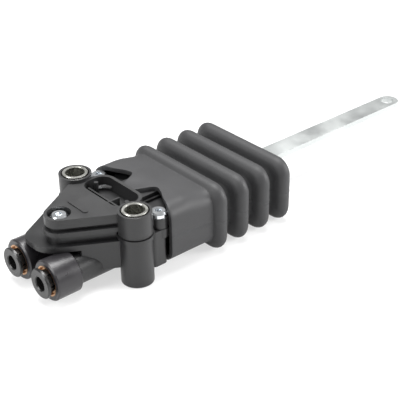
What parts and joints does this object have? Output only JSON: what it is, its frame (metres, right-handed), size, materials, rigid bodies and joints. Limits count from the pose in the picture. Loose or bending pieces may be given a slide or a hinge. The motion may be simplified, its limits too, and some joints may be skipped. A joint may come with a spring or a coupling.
{
  "type": "cab leveling valve",
  "caption": "Cab leveling valve: a lever through a folded rubber bellows turns a crank that slides a plunger between two push-in air ports.",
  "frame": {"origin": "midway between the two mounting holes, on the face that meets the bracket", "axes": "+X from the tube fittings to the lever's eye, +Y across the mounting holes, +Z away from the bracket"},
  "size_m": [0.228, 0.0604, 0.0345],
  "materials": {
    "housing": "moulded satin",
    "cover": "moulded satin",
    "rubber": "matt, slightly bloomed",
    "seal_rubber": "smooth",
    "sleeve": "bright zinc plated",
    "screw": "bright zinc plated",
    "fitting": "moulded satin",
    "brass": "turned",
    "spring_steel": "bright",
    "collet": "moulded satin",
    "bush": "moulded",
    "steel": "ground",
    "zinc_steel": "zinc plated, brushed"
  },
  "bodies": {
    "valve_body": {"valve_housing": "housing", "valve_cover": "cover", "cover_gasket": "rubber", "near_mounting_sleeve": "sleeve", "far_mounting_sleeve": "sleeve", "cover_screws": "screw", "inlet_fitting_body": "fitting", "outlet_fitting_body": "fitting", "inlet_retaining_ring": "brass", "outlet_retaining_ring": "brass", "inlet_grip_ring": "spring_steel", "outlet_grip_ring": "spring_steel", "inlet_tube_seal": "seal_rubber", "outlet_tube_seal": "seal_rubber", "inlet_socket_seal": "seal_rubber", "outlet_socket_seal": "seal_rubber", "shaft_bush": "bush", "valve_sleeve": "brass", "valve_seals": "seal_rubber", "bellows": "rubber"},
    "lever": {"lever_arm": "zinc_steel", "crank_shaft": "steel", "lever_collar": "steel"},
    "plunger": {"valve_plunger": "steel"},
    "inlet_release": {"inlet_collet": "collet"},
    "outlet_release": {"outlet_collet": "collet"}
  },
  "joints": [
    {"name": "lever_swing", "type": "hinge", "parent": "valve_body", "child": "lever", "pos_m": [0.005, 0, 0.0155], "axis": [0, 0, 1], "range_deg": [-20, 20], "stiffness_Nm_per_rad": 0.1, "deforming": ["bellows"]},
    {"name": "plunger_slide", "type": "slide", "parent": "valve_body", "child": "plunger", "axis": [1, 0, 0], "range_m": [-0.0018, 0.0018]},
    {"name": "inlet_collet_press", "type": "slide", "parent": "valve_body", "child": "inlet_release", "axis": [1, 0, 0], "range_m": [0, 0.001], "stiffness_N_per_m": 500},
    {"name": "outlet_collet_press", "type": "slide", "parent": "valve_body", "child": "outlet_release", "axis": [1, 0, 0], "range_m": [0, 0.001], "stiffness_N_per_m": 500}
  ],
  "couplings": [
    {"joint": "plunger_slide", "follows": "lever_swing", "m_per_rad": 0.005}
  ]
}
